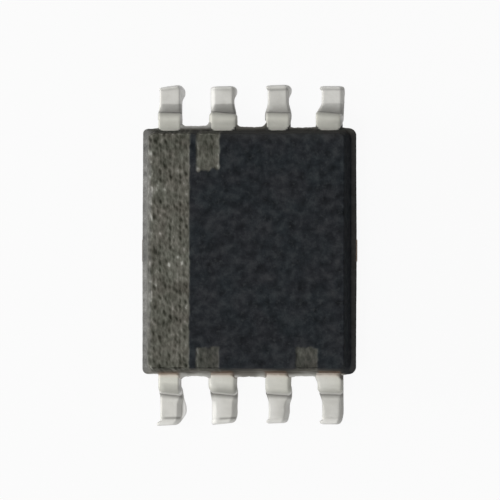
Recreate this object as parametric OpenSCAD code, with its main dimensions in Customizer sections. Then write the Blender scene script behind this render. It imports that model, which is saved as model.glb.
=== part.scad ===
// Voltage level translator chip: an eight-lead gull-wing package with its lead frame, die and bond wires.
// Millimetres. The origin is the centre of the seating plane, under the middle of the body.
// +X runs along the lead rows, away from the marked end. +Y runs across them. +Z points up from the board.

/* [Body] */

// Length of the body along the lead rows, over the parting band
body_length = 2; // [1.9:0.01:2.1]
// Width of the body across the lead rows, over the parting band
body_width = 2.3; // [2.2:0.01:2.4]
// Height of the moulding above the lead frame
upper_depth = 0.33; // [0.28:0.01:0.36]
// Depth of the moulding below the lead frame
lower_depth = 0.29; // [0.26:0.01:0.34]
// Gap between the board and the underside of the body
standoff = 0.05; // [0.02:0.01:0.1]
// How far each wall leans in between the lead frame and the face
draft_inset = 0.05; // [0.03:0.005:0.06]
// Width of the ledge that the parting band leaves at the two ends
end_ledge = 0.038; // [0.02:0.002:0.045]
// Width of the ledge that it leaves along the two lead sides
side_ledge = 0.02; // [0.01:0.002:0.03]
// Corner radius of the walls at the ledge, in plan
corner_radius = 0.09; // [0.075:0.005:0.12]
// Corner radius of the parting band, in plan
band_corner_radius = 0.06; // [0.03:0.01:0.1]
// How far the resin web between two leads stands out past the parting band
web_reach = 0.012; // [0.006:0.002:0.03]

/* [Top marks] */

// Depth of the etched marks
etch_depth = 0.008; // [0.004:0.002:0.014]
// Width of the band at the marked end, from the end of the body
end_band_width = 0.47; // [0.4:0.01:0.55]
// Width of the two bars beside the band
bar_width = 0.21; // [0.16:0.01:0.26]
// Gap between the band and the two bars
bar_gap = 0.06; // [0.04:0.01:0.1]
// Length of the bar on the +Y side, from the ledge
long_bar = 0.38; // [0.25:0.01:0.45]
// Length of the two bars on the -Y side, from the ledge
short_bar = 0.24; // [0.2:0.01:0.35]
// Middle of the bar on its own on the -Y side
far_bar_x = 0.55; // [0.45:0.01:0.65]

/* [Leads] */

// Distance between the middles of two leads next to each other
lead_pitch = 0.5; // [0.48:0.01:0.52]
// Thickness of the lead frame sheet
sheet = 0.08; // [0.07:0.005:0.1]
// Width of a lead at the shoulder
shoulder_width = 0.25; // [0.22:0.01:0.27]
// Width of a lead at the foot
foot_width = 0.215; // [0.18:0.005:0.22]
// Length of the straight shoulder outside the body
shoulder_length = 0.065; // [0.03:0.005:0.09]
// Length of the flat foot that is soldered down
foot_length = 0.26; // [0.2:0.01:0.3]
// Radius on the inside of both bends
bend_radius = 0.01; // [0.005:0.005:0.03]
// Lean of the shank away from upright, in degrees
shank_lean = 4; // [2:1:12]
// Corner radius of the foot at its tip
tip_radius = 0.025; // [0.01:0.005:0.05]
// How far the full width of the shoulder runs into the wall
shoulder_root = 0.05; // [0.03:0.01:0.1]

/* [Inside the moulding] */

// Length of the die pad along the lead rows
pad_length = 1.1; // [1:0.01:1.2]
// Width of the die pad across the lead rows
pad_width = 0.9; // [0.82:0.01:0.96]
// How far the die pad is set down below the leads
pad_drop = 0.1; // [0.06:0.01:0.12]
// Width of the two tie bars
tie_width = 0.2; // [0.15:0.01:0.25]
// Flat run of a tie bar before it rises
tie_flat = 0.06; // [0.04:0.01:0.1]
// Slope of that rise, in degrees
tie_slope = 45; // [35:1:60]
// How far the cut end of a tie bar stands out of the body
tie_stub = 0.004; // [0.002:0.001:0.01]
// Thickness of the layer under the die
attach_thickness = 0.02; // [0.01:0.005:0.03]
// How far the layer under the die spreads past it
attach_spread = 0.03; // [0.01:0.005:0.05]
// Length of the die
die_length = 0.86; // [0.7:0.01:0.9]
// Width of the die
die_width = 0.7; // [0.6:0.01:0.72]
// Thickness of the die
die_thickness = 0.15; // [0.1:0.01:0.17]
// Gap between the die pad and the end of a bond finger
finger_gap = 0.12; // [0.08:0.01:0.15]
// Length of the wide head of a bond finger
head_length = 0.18; // [0.14:0.01:0.2]
// Width of the wide head of a bond finger
head_width = 0.34; // [0.28:0.01:0.36]
// How far the head of a corner lead is set in towards the middle
head_offset = 0.06; // [0.02:0.01:0.08]
// Width of the neck between head and shoulder
neck_width = 0.18; // [0.14:0.01:0.2]
// Diameter of the bond wire
wire_diameter = 0.024; // [0.018:0.001:0.03]
// Diameter of the ball at the die end of a wire
ball_diameter = 0.06; // [0.05:0.002:0.07]
// Height of that ball
ball_height = 0.014; // [0.01:0.001:0.02]
// Straight rise of a wire above its ball
wire_rise = 0.03; // [0.015:0.005:0.05]
// Radius of the loop at the top of a wire
loop_radius = 0.04; // [0.03:0.005:0.05]
// Diameter of the flattened stitch at the lead end of a wire
stitch_diameter = 0.07; // [0.05:0.005:0.08]
// Thickness of that stitch
stitch_thickness = 0.006; // [0.004:0.001:0.01]
// Distance from the edge of the die to the middle of its bond pads
bond_edge = 0.08; // [0.05:0.01:0.1]
// Distance between the middles of two bond pads next to each other
bond_pitch = 0.2; // [0.15:0.01:0.24]

/* [Hidden] */

$fn = 48;
quarter_steps = 4;
per_side = 4;
pins = [for (pin = [1 : 2 * per_side]) pin];

// Levels above the board
frame_under = standoff + lower_depth;
frame_top = frame_under + sheet;
body_top = frame_top + upper_depth;
pad_under = frame_under - pad_drop;
pad_top = pad_under + sheet;
die_under = pad_top + attach_thickness;
die_top = die_under + die_thickness;

// Plan of the walls at the ledge
wall_length = body_length - 2 * end_ledge;
wall_width = body_width - 2 * side_ledge;

// Forming of a lead: both bends turn by the same angle, and the shank takes up the height that is left
turn = 90 - shank_lean;
bend_middle = bend_radius + sheet / 2;
shank_length = (frame_under - 2 * bend_middle * (1 - cos(turn))) / sin(turn);
bend_start = body_width / 2 + shoulder_length;
foot_start = bend_start + 2 * bend_middle * sin(turn) + shank_length * cos(turn);
tip = foot_start + foot_length;

// Bond fingers
finger_end = pad_width / 2 + finger_gap;
head_middle = finger_end + head_length / 2;
neck_end = wall_width / 2 - shoulder_root;

// A little more than needed, for cuts that go right through
past = 0.1;

// Which piece is drawn

// Pins 1 to 4 stand on the -Y side from the marked end, pins 5 to 8 come back along the +Y side
function side(pin) = pin > per_side ? 1 : -1;
function place(pin) = pin > per_side ? 2 * per_side + 1 - pin : pin;
function from_middle(pin) = place(pin) - (per_side + 1) / 2;
function lead_x(pin) = from_middle(pin) * lead_pitch;
function bond_x(pin) = from_middle(pin) * bond_pitch;
// The heads of the corner leads are set in towards the middle of the row
function is_corner(pin) = place(pin) == 1 || place(pin) == per_side;
function head_shift(pin) = is_corner(pin) ? -sign(from_middle(pin)) * head_offset : 0;

// Quarter of a circle from the angle `start`, as points of an outline
function quarter(centre, radius, start) =
    [for (a = [start : 90 / quarter_steps : start + 90]) centre + radius * [cos(a), sin(a)]];

// Block on the z = 0 plane with rounded corners, each wall leaning in by `inset` over its height
module drafted_block(size_x, size_y, height, radius, inset) {
    half_x = size_x / 2 - radius;
    half_y = size_y / 2 - radius;
    for (x = [-half_x, half_x], y = [-half_y, half_y])
        translate([x, y, 0]) cylinder(height, radius, radius - inset);
    rotate([90, 0, 0]) linear_extrude(2 * half_y, center = true)
        polygon([
            [-size_x / 2, 0], [size_x / 2, 0],
            [size_x / 2 - inset, height], [inset - size_x / 2, height]
        ]);
    rotate([90, 0, 90]) linear_extrude(2 * half_x, center = true)
        polygon([
            [-size_y / 2, 0], [size_y / 2, 0],
            [size_y / 2 - inset, height], [inset - size_y / 2, height]
        ]);
}

// The moulding before the lead frame, die and wires are taken out of it
module moulding() {
    translate([0, 0, frame_top])
        drafted_block(wall_length, wall_width, upper_depth, corner_radius, draft_inset);
    translate([0, 0, frame_under])
        drafted_block(body_length, body_width, sheet, band_corner_radius, 0);
    translate([0, 0, frame_under]) rotate([180, 0, 0])
        drafted_block(wall_length, wall_width, lower_depth, corner_radius, draft_inset);
    web_length = (per_side - 1) * lead_pitch;
    translate([-web_length / 2, -body_width / 2 - web_reach, frame_under])
        cube([web_length, body_width + 2 * web_reach, sheet]);
}

// Shallow marks on the top face: the band at the pin 1 end and three plain bars that start at the walls
module top_marks() {
    floor_level = body_top - etch_depth;
    band_edge = end_band_width - body_length / 2;
    bar_start = band_edge + bar_gap;
    wall_y = wall_width / 2;
    translate([-body_length / 2 - past, -body_width / 2, floor_level])
        cube([end_band_width + past, body_width, past]);
    translate([bar_start, wall_y - long_bar, floor_level]) cube([bar_width, long_bar + past, past]);
    for (x = [bar_start, far_bar_x - bar_width / 2])
        translate([x, -wall_y - past, floor_level]) cube([bar_width, short_bar + past, past]);
}

// Side view of a lead, wider than any part of it, heading out along +Y from the finger end. It is drawn
// with x outwards and y up, each run in the frame where the one before it ends, and then stood up.
module lead_strip() {
    width = head_width + 2 * head_offset + past;
    rotate([90, 0, 90]) {
        translate([finger_end, frame_under, 0]) straight(bend_start - finger_end, width);
        translate([bend_start, frame_under - bend_radius, 0]) {
            rotate(90 - turn) bend(width);
            rotate(-turn) {
                translate([0, bend_radius, 0]) straight(shank_length, width);
                translate([shank_length, 2 * bend_radius + sheet, 0]) {
                    rotate(-90) bend(width);
                    rotate(turn) translate([0, -bend_radius - sheet, 0]) straight(foot_length, width);
                }
            }
        }
    }
}

// One bend of the strip, turning about the z axis
module bend(width) {
    rotate_extrude(angle = turn) translate([bend_radius, -width / 2]) square([sheet, width]);
}

// One straight run of the strip
module straight(run, width) {
    translate([0, 0, -width / 2]) cube([run, sheet, width]);
}

// Plan of a lead: head, neck, shoulder, then a taper over the shank to the foot with its rounded tip
module lead_plan(shift) {
    head = head_width / 2;
    neck = neck_width / 2;
    shoulder = shoulder_width / 2;
    foot = foot_width / 2;
    head_end = finger_end + head_length;
    neck_start = head_end + abs(shift);
    taper_start = bend_start;
    corner = [foot - tip_radius, tip - tip_radius];
    polygon(concat(
        [
            [shift - head, finger_end], [shift + head, finger_end], [shift + head, head_end],
            [shift + neck, head_end], [neck, neck_start], [neck, neck_end],
            [shoulder, neck_end], [shoulder, taper_start], [foot, foot_start]
        ],
        quarter(corner, tip_radius, 0),
        quarter([-corner[0], corner[1]], tip_radius, 90),
        [
            [-foot, foot_start], [-shoulder, taper_start], [-shoulder, neck_end],
            [-neck, neck_end], [-neck, neck_start], [shift - neck, head_end], [shift - head, head_end]
        ]
    ));
}

module lead(pin) {
    color("silver") translate([lead_x(pin), 0, 0]) rotate(90 - 90 * side(pin))
        intersection() {
            lead_strip();
            translate([0, 0, -past]) linear_extrude(frame_top + 2 * past)
                lead_plan(side(pin) * head_shift(pin));
        }
}

// Paddle under the die, with a tie bar from each end that rises to the parting band
module die_pad() {
    bar_end = body_length / 2 + tie_stub;
    bend_in = pad_length / 2 + tie_flat;
    bend_out = bend_in + pad_drop / tan(tie_slope);
    inner_corner = sheet * tan(tie_slope / 2);
    color("peru") {
        translate([-pad_length / 2, -pad_width / 2, pad_under]) cube([pad_length, pad_width, sheet]);
        for (turned = [0, 180])
            rotate(turned) rotate([90, 0, 0]) linear_extrude(tie_width, center = true)
                polygon([
                    [0, pad_under], [bend_in, pad_under], [bend_out, frame_under], [bar_end, frame_under],
                    [bar_end, frame_top], [bend_out - inner_corner, frame_top],
                    [bend_in - inner_corner, pad_top], [0, pad_top]
                ]);
    }
}

module die_attach() {
    size_x = die_length + 2 * attach_spread;
    size_y = die_width + 2 * attach_spread;
    color("gainsboro") translate([-size_x / 2, -size_y / 2, pad_top])
        cube([size_x, size_y, attach_thickness]);
}

module silicon_die() {
    color("slategray") translate([-die_length / 2, -die_width / 2, die_under])
        cube([die_length, die_width, die_thickness]);
}

// Ball, rise, loop and long slope of a wire in the plane that holds both of its ends, then the stitch
module bond_wire(pin) {
    from = [bond_x(pin), side(pin) * (die_width / 2 - bond_edge)];
    to = [lead_x(pin) + head_shift(pin), side(pin) * head_middle];
    heading = atan2(to[1] - from[1], to[0] - from[0]);
    run = norm(to - from);
    loop_level = die_top + ball_height + wire_rise;
    // The slope is the line from the stitch that just touches the loop
    reach = norm([run - loop_radius, loop_level - frame_top]);
    slope = atan2(loop_level - frame_top, run - loop_radius) + asin(loop_radius / reach);
    slope_length = sqrt(reach * reach - loop_radius * loop_radius);
    color("gold") translate([from[0], from[1], 0]) rotate(heading) {
        translate([0, 0, die_top]) cylinder(ball_height, d = ball_diameter);
        translate([0, 0, die_top]) cylinder(ball_height + wire_rise, d = wire_diameter);
        translate([run, 0, frame_top]) cylinder(stitch_thickness, d = stitch_diameter);
        intersection() {
            translate([loop_radius, 0, loop_level]) rotate([90, 0, 0]) {
                rotate(90 - slope) rotate_extrude(angle = 90 + slope)
                    translate([loop_radius, 0]) circle(d = wire_diameter);
                rotate(-slope) translate([0, loop_radius, 0]) rotate([0, 90, 0])
                    cylinder(slope_length + past, d = wire_diameter);
            }
            translate([-past, -past, frame_top]) cube([run + 2 * past, 2 * past, upper_depth]);
        }
    }
}

module moulded_body() {
    color("dimgray") difference() {
        moulding();
        top_marks();
        die_pad();
        die_attach();
        silicon_die();
        for (pin = pins) {
            lead(pin);
            bond_wire(pin);
        }
    }
}

moulded_body();
die_pad();
die_attach();
silicon_die();
for (pin = pins) {
    lead(pin);
    bond_wire(pin);
}
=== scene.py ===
"""Voltage level translator chip: the looks of an eight-lead gull-wing package, built round its CAD frame.

Shapes are worked out in millimetres and scaled to metres when their mesh is made. +X runs along the lead rows
away from the marked end, +Y across them, +Z up from the board, and the origin is the middle of the seating
plane. Leads 1 to 4 stand on the -Y side and leads 8 to 5 on the +Y side, both in the order of x. A table by
side has the key 1 for the +Y side and -1 for the -Y side.
"""
import functools
import math
from types import SimpleNamespace

import bpy
import numpy as np
from mathutils import Matrix, Vector

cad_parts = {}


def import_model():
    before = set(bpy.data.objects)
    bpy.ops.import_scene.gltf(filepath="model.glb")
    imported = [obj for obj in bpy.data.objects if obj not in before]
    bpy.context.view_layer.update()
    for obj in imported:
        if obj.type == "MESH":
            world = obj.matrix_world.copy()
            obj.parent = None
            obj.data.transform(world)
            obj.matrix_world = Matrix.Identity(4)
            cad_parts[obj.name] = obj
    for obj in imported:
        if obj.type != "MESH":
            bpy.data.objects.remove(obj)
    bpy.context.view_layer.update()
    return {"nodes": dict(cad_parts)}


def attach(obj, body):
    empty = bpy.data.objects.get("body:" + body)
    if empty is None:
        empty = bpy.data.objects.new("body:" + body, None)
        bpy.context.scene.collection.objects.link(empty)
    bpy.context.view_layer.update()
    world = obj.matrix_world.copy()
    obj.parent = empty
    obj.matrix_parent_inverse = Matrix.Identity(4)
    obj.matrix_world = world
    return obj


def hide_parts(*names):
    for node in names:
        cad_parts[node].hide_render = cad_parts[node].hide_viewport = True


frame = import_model()
MM = 0.001

# Sizes that the CAD source gives
BODY_TOP = 0.75
BODY_UNDER = 0.05
FRAME_TOP = 0.42
FRAME_UNDER = 0.34
SHEET = 0.08
WALL_HALF = (0.962, 1.13)
WALL_CORNER = 0.09
ETCH_DEPTH = 0.008
BAR_WIDTH = 0.21
LEAD_PITCH = 0.5
FINGER_END = 0.57
HEAD_WIDTH = 0.34
HEAD_LENGTH = 0.18
HEAD_OFFSET = 0.06
NECK_WIDTH = 0.18
NECK_END = 1.08
BEND_START = 1.215
BEND_MIDDLE = 0.05
TURN = math.radians(86)
FOOT_LENGTH = 0.26

# Sizes fitted to the photograph, within about 0.02 mm of the source
DRAFT_INSET = 0.045
BAND_HALF = (0.999, 1.15)
BAND_CORNER = 0.05
FAR_BAND_CORNER = 0.07
BAND_EDGE_X = -0.533
NEAR_BAR_X = -0.466
NEAR_BAR_END_X = NEAR_BAR_X + BAR_WIDTH
FAR_BAR_X = 0.460
FAR_BAR_END_X = FAR_BAR_X + 0.195
LONG_BAR_END_Y = 0.732
SHORT_BAR_END_Y = -0.911
BARS_START_X = BAND_EDGE_X + 0.02


def smooth_step(low, high, value):
    """0 at low, 1 at high, and the curve 3t^2 - 2t^3 between them; high may be the smaller one."""
    t = np.clip((value - low) / (high - low), 0.0, 1.0)
    return t * t * (3.0 - 2.0 * t)


def bell(value, half):
    """Hump round 0, exp(-(value / half)^2)."""
    return np.exp(-(value / half) ** 2)


def lattice_noise(x, y, cell, seed):
    """Smooth random value from 0 to 1 over the plane: random numbers on a lattice of side cell, blended
    between the four nearest lattice points along the curve 3t^2 - 2t^3."""
    size = 64
    table = np.random.default_rng(seed).random((size, size))
    u, v = x / cell, y / cell
    column, row = np.floor(u).astype(int), np.floor(v).astype(int)
    across, along = smooth_step(0.0, 1.0, u - column), smooth_step(0.0, 1.0, v - row)
    left, right = column % size, (column + 1) % size
    low, high = row % size, (row + 1) % size
    near = table[left, low] * (1.0 - across) + table[right, low] * across
    far = table[left, high] * (1.0 - across) + table[right, high] * across
    return near * (1.0 - along) + far * along


def wander(x, y, cell, seed):
    """Lattice noise about 0, from -0.5 to 0.5."""
    return lattice_noise(x, y, cell, seed) - 0.5


def strongest(*layers):
    """The largest of several layers at each point."""
    return functools.reduce(np.maximum, layers)


def new_object(name, data):
    """New object in the scene that holds the data."""
    made = bpy.data.objects.new(name, data)
    bpy.context.scene.collection.objects.link(made)
    return made


def make_piece(name, points, quads, triangles, layers, material):
    """Puts points in millimetres, faces and one-number-per-point layers into a mesh object that rides on the
    part."""
    mesh = bpy.data.meshes.new(name)
    faces = [tuple(f) for f in quads.tolist()] + [tuple(f) for f in triangles.tolist()]
    mesh.from_pydata((points * MM).tolist(), [], faces)
    mesh.polygons.foreach_set("use_smooth", np.ones(len(mesh.polygons), dtype=bool))
    for layer, values in layers.items():
        made = mesh.attributes.new(layer, "FLOAT", "POINT")
        made.data.foreach_set("value", np.asarray(values, dtype=np.float32))
    mesh.materials.append(material)
    mesh.validate()
    mesh.update()
    piece = new_object(name, mesh)
    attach(piece, "root")
    return piece


def ring_quads(loops):
    """Quads between rings that follow each other, each ring a row of point numbers that closes on itself."""
    after = np.roll(loops, -1, axis=1)
    return np.stack([loops[:-1], loops[1:], after[1:], after[:-1]], axis=-1).reshape(-1, 4)


# Shader helpers
def add(tree, kind, **settings):
    """Adds a node and sets its properties."""
    made = tree.nodes.new(kind)
    for key, value in settings.items():
        setattr(made, key, value)
    return made


def fill(socket, value):
    """Links an input socket to an output socket, or sets it to a plain value."""
    if isinstance(value, bpy.types.NodeSocket):
        socket.id_data.links.new(value, socket)
    else:
        socket.default_value = value


def put(made, **values):
    """Fills input sockets by name, with underscores for the spaces in their names."""
    for key, value in values.items():
        fill(made.inputs[key.replace("_", " ")], value)
    return made


def noise(tree, place, scale, detail, roughness=0.5):
    """Noise texture at a scale per millimetre, read at a place in millimetres."""
    made = add(tree, "ShaderNodeTexNoise")
    put(made, Vector=place, Scale=scale, Detail=detail, Roughness=roughness)
    return made.outputs["Fac"]


def ramp(tree, value, stops):
    """Colour ramp through the stops, each a place and a grey or a colour."""
    made = put(add(tree, "ShaderNodeValToRGB"), Fac=value)
    elements = made.color_ramp.elements
    while len(elements) < len(stops):
        elements.new(0.5)
    for element, (place, colour) in zip(elements, stops):
        element.position = place
        element.color = (*colour, 1.0) if isinstance(colour, tuple) else (colour, colour, colour, 1.0)
    return made.outputs["Color"]


def drift(tree, grain, low, high):
    """Grey or colour that goes from low to high over the middle range of a noise."""
    return ramp(tree, grain, [(0.3, low), (0.7, high)])


def mix(tree, factor, first, second, blend="MIX"):
    """Mixes two colours by a factor that varies over the surface; each may be a socket or a plain colour."""
    made = add(tree, "ShaderNodeMix", data_type="RGBA", blend_type=blend)
    for name, value in (("Factor", factor), ("A", first), ("B", second)):
        fill(made.inputs[name], (*value, 1.0) if isinstance(value, tuple) else value)
    return made.outputs["Result"]


def reckon(tree, operation, *values):
    """Math node; each input may be a socket or a plain number."""
    made = add(tree, "ShaderNodeMath", operation=operation)
    for socket, value in zip(made.inputs, values):
        fill(socket, value)
    return made.outputs[0]


def axes_of(tree, place):
    """The X, Y and Z of a place, as output sockets."""
    return put(add(tree, "ShaderNodeSeparateXYZ"), Vector=place).outputs


def carry_over(tree, value, low, high, start=0.0, end=1.0):
    """Carries a value from the range low to high over to the range start to end, and holds it there."""
    made = add(tree, "ShaderNodeMapRange")
    put(made, Value=value, From_Min=low, From_Max=high, To_Min=start, To_Max=end)
    return made.outputs["Result"]


def layer_value(tree, name):
    """The piece's own one-number-per-point layer of that name."""
    return add(tree, "ShaderNodeAttribute", attribute_name=name).outputs["Fac"]


def mix_shaders(tree, factor, first, second):
    """Mix shader between the first outputs of two nodes."""
    made = add(tree, "ShaderNodeMixShader")
    for socket, value in zip(made.inputs, (factor, first.outputs[0], second.outputs[0])):
        fill(socket, value)
    return made


# Marks of the laser on the etched fields: pitch of their lattice in x and y, offset in cells, range of a
# cell's random number over which a mark gains strength, reach in cells, and how far it moves the tone. The
# first two are fine and coarse pits, the last is pale flecks.
LASER_MARKS = (
    ((0.031, 0.052), (7.3, 2.6), (0.30, 1.0), 0.58, -0.28),
    ((0.0479, 0.064), (0.29, 0.0), (0.12, 1.0), 0.55, -0.42),
    ((0.041, 0.056), (3.1, 5.7), (0.72, 1.0), 0.46, 0.27),
)
# Full core of a mark in cells, and how far the marks scatter from their lattice
MARK_CORE = 0.05
MARK_SCATTER = 0.55
# Share of a row by which the marks step down from column to column, and how strong they are on the bars
ROW_STEP = 0.42
BAR_MARKS = 0.45
# Upright streaks: how far they move the tone, and their squeeze in y
STREAK = 1.05
STREAK_SQUEEZE = 0.45


def laser_spots(tree, place, pitch, offset, chosen, reach):
    """Round spots, at most one to each cell of a lattice with that pitch in x and y. A cell's own random
    number, taken from 0 to 1 over the range `chosen`, is the strength of its spot, which fades out at
    `reach`."""
    axes = axes_of(tree, place)
    column = reckon(tree, "MULTIPLY_ADD", axes["X"], 1.0 / pitch[0], offset[0])
    row = reckon(tree, "MULTIPLY_ADD", axes["Y"], 1.0 / pitch[1], offset[1])
    lattice = add(tree, "ShaderNodeCombineXYZ")
    put(lattice, X=column, Y=reckon(tree, "MULTIPLY_ADD", column, ROW_STEP, row))
    cells = add(tree, "ShaderNodeTexVoronoi", voronoi_dimensions="2D")
    put(cells, Vector=lattice.outputs["Vector"], Scale=1.0, Randomness=MARK_SCATTER)
    shades = put(add(tree, "ShaderNodeSeparateColor"), Color=cells.outputs["Color"]).outputs
    strength = ramp(tree, shades["Red"], [(chosen[0], 0.0), (chosen[1], 1.0)])
    near = ramp(tree, cells.outputs["Distance"], [(MARK_CORE, 1.0), (reach, 0.0)])
    return reckon(tree, "MULTIPLY", strength, near)


def scan_tone(tree, place):
    """Tone of the etched surface from 0, a dark pit, to 1, a pale fleck: the shell's own slow drift, upright
    streaks of noise, and the laser's spots in upright columns, which are weaker on the bars."""
    upright = add(tree, "ShaderNodeVectorMath", operation="MULTIPLY")
    fill(upright.inputs[0], place)
    fill(upright.inputs[1], (1.0, STREAK_SQUEEZE, 1.0))
    streaks = noise(tree, upright.outputs["Vector"], 27.0, 2.0, 0.6)
    marks = 0.0
    for *lattice, change in LASER_MARKS:
        marks = reckon(tree, "MULTIPLY_ADD", laser_spots(tree, place, *lattice), change, marks)
    weaker = carry_over(tree, axes_of(tree, place)["X"], BARS_START_X, BARS_START_X + 0.02, 1.0, BAR_MARKS)
    tone = reckon(tree, "MULTIPLY_ADD", streaks, STREAK, layer_value(tree, "etch_tone"))
    tone = reckon(tree, "ADD", tone, -STREAK / 2)
    return reckon(tree, "MULTIPLY_ADD", marks, weaker, tone)


def grain_group():
    """Node group for a fine cast or plated surface: mottling in soft patches and a height for the bump, both
    from noise at a patch size and a grain size per millimetre."""
    group = bpy.data.node_groups.new("surface_grain", "ShaderNodeTree")
    for way, kind, names in (("INPUT", "NodeSocketVector", ["Position"]),
                             ("INPUT", "NodeSocketFloat", ["Patches", "Grains"]),
                             ("OUTPUT", "NodeSocketFloat", ["Mottle", "Height"])):
        for name in names:
            group.interface.new_socket(name, in_out=way, socket_type=kind)
    given = add(group, "NodeGroupInput").outputs
    put(add(group, "NodeGroupOutput"),
        Mottle=noise(group, given["Position"], given["Patches"], 3.0, 0.6),
        Height=noise(group, given["Position"], given["Grains"], 2.0, 0.65))
    return group


SURFACE_GRAIN = grain_group()


def start_material(name, patches, grains, bump_height):
    """Material with a Principled shader, the surface grain at its own sizes and a bump from it; returns the
    material, its tree, the shader, the position in millimetres, the mottle and the grain height."""
    made = bpy.data.materials.new(name)
    made.use_nodes = True
    tree = made.node_tree
    shader = tree.nodes["Principled BSDF"]
    scaled = put(add(tree, "ShaderNodeVectorMath", operation="SCALE"), Scale=1.0 / MM)
    fill(scaled.inputs[0], add(tree, "ShaderNodeTexCoord").outputs["Object"])
    place = scaled.outputs["Vector"]
    grain = add(tree, "ShaderNodeGroup", node_tree=SURFACE_GRAIN)
    put(grain, Position=place, Patches=patches, Grains=grains)
    height = grain.outputs["Height"]
    bump = put(add(tree, "ShaderNodeBump"), Strength=1.0, Distance=bump_height * MM, Height=height)
    put(shader, Normal=bump.outputs["Normal"])
    return made, tree, shader, place, grain.outputs["Mottle"], height


def mould_compound():
    """Black filled epoxy: a bluish matt black with soft mottling and pale filler flecks, greyer on the flash
    along the parting line, stained brown above the -Y leads, grey where it is etched and paler still on the
    bleached end. The flash, the etched walls and the bleached end also carry painted light and shade."""
    made, tree, shader, place, mottle, height = start_material("mould_compound", 13.0, 60.0, 0.0030)
    colour = ramp(tree, mottle, [(0.28, (0.0092, 0.0102, 0.0112)), (0.50, (0.0192, 0.0212, 0.0235)),
                                 (0.72, (0.0355, 0.0378, 0.0392))])
    tint = ramp(tree, noise(tree, place, 4.5, 1.0), [(0.35, (0.93, 1.0, 1.03)), (0.65, (1.03, 1.0, 1.03))])
    colour = mix(tree, 1.0, colour, tint, "MULTIPLY")
    flecks = ramp(tree, noise(tree, place, 30.0, 2.0), [(0.55, 0.0), (0.85, 1.0)])
    colour = mix(tree, flecks, colour, (0.036, 0.039, 0.041))
    # The flash layer is resin flash with painted light: paler on walls facing -Y and on the upper +Y wall
    flash = layer_value(tree, "flash")
    flash_colour = ramp(tree, flash, [(0.0, (0.060, 0.056, 0.048)), (0.5, (0.150, 0.143, 0.126)),
                                      (1.0, (0.430, 0.425, 0.400))])
    colour = mix(tree, ramp(tree, flash, [(0.0, 0.0), (0.35, 1.0)]), colour, flash_colour)
    stain = drift(tree, mottle, (0.095, 0.060, 0.042), (0.170, 0.108, 0.074))
    colour = mix(tree, layer_value(tree, "stain"), colour, stain)
    etched = ramp(tree, scan_tone(tree, place),
                  [(0.0, (0.018, 0.018, 0.014)), (0.25, (0.045, 0.045, 0.037)), (0.5, (0.090, 0.089, 0.076)),
                   (0.75, (0.150, 0.148, 0.130)), (1.0, (0.36, 0.36, 0.34))])
    warm = ramp(tree, noise(tree, place, 7.0, 1.0), [(0.35, (0.98, 1.0, 0.96)), (0.70, (1.03, 0.99, 0.97))])
    etched = mix(tree, 1.0, etched, warm, "MULTIPLY")
    colour = mix(tree, layer_value(tree, "etched"), colour, etched)
    # The bleached end is partly painted light from the left
    bleached = drift(tree, height, (0.185, 0.183, 0.172), (0.305, 0.301, 0.290))
    colour = mix(tree, layer_value(tree, "bleached"), colour, bleached)
    put(shader, Base_Color=colour, Roughness=drift(tree, mottle, 0.78, 0.92), Specular_IOR_Level=0.02)
    return made


def tin_plate():
    """Matt tin over copper: light grey with fine plating grain, yellower on the shoulders and warmer at the
    root, brown copper at the cut tip and the stained root, and black where resin has crept over the root. A
    pale coat is painted light and highlight on edges, lips, shoulders, feet, burrs and flanks, and a dark
    coat is painted shade and shadow on the crown, creases, heels, shoulders, feet and flanks."""
    made, tree, shader, _, mottle, height = start_material("tin_plate", 7.0, 70.0, 0.0010)
    colour = drift(tree, mottle, (0.505, 0.498, 0.466), (0.575, 0.567, 0.535))
    bare = drift(tree, mottle, (0.100, 0.075, 0.050), (0.210, 0.150, 0.100))
    warm = layer_value(tree, "warm")
    warmer = ramp(tree, warm, [(0.45, (0.540, 0.538, 0.446)), (0.90, (0.550, 0.500, 0.432))])
    # The pale coat is painted light and highlight, and the dark grey coat is painted shade and shadow
    for share, coat in ((warm, warmer), (layer_value(tree, "painted_light"), (0.780, 0.775, 0.755)),
                        (layer_value(tree, "bare_copper"), bare),
                        (layer_value(tree, "painted_shade"), (0.100, 0.097, 0.086)),
                        (layer_value(tree, "resin"), (0.030, 0.030, 0.028))):
        colour = mix(tree, share, colour, coat)
    put(shader, Base_Color=colour, Roughness=drift(tree, height, 0.56, 0.66), Metallic=0.30)
    return made


def plain_metal(name, low, high, roughness, patches, grains, bump_height, oxide=None, metallic=1.0):
    """Bare metal or polished silicon, whose colour and roughness drift between two ends with the surface
    grain; where it comes out at the ends of the body it may be dulled by oxide."""
    made, tree, shader, place, mottle, height = start_material(name, patches, grains, bump_height)
    colour = drift(tree, mottle, low, high)
    if oxide:
        from_middle = reckon(tree, "ABSOLUTE", axes_of(tree, place)["X"])
        colour = mix(tree, carry_over(tree, from_middle, 0.95, 0.98), colour, oxide)
    put(shader, Base_Color=colour, Roughness=drift(tree, height, *roughness), Metallic=metallic)
    return made


def die_attach_epoxy():
    """Silver-filled glue: pale grey paste with bright flakes."""
    made, tree, shader, _, mottle, height = start_material("die_attach_epoxy", 14.0, 90.0, 0.004)
    paste = drift(tree, mottle, (0.36, 0.36, 0.35), (0.52, 0.52, 0.51))
    flakes = ramp(tree, height, [(0.45, 0.2), (0.65, 0.85)])
    put(shader, Base_Color=paste, Metallic=flakes, Roughness=0.45)
    return made


MOULD = mould_compound()
TIN = tin_plate()
COPPER = plain_metal("lead_frame_copper", (0.62, 0.33, 0.20), (0.78, 0.46, 0.31), (0.30, 0.45), 6.0, 50.0,
                     0.001, (0.060, 0.045, 0.034))
GOLD = plain_metal("gold_wire", (0.85, 0.60, 0.24), (0.95, 0.72, 0.33), (0.18, 0.28), 20.0, 120.0, 0.0003)
EPOXY = die_attach_epoxy()
SILICON = plain_metal("silicon", (0.055, 0.060, 0.075), (0.100, 0.100, 0.110), (0.14, 0.24), 3.0, 40.0,
                      0.0004, metallic=0.6)


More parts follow.
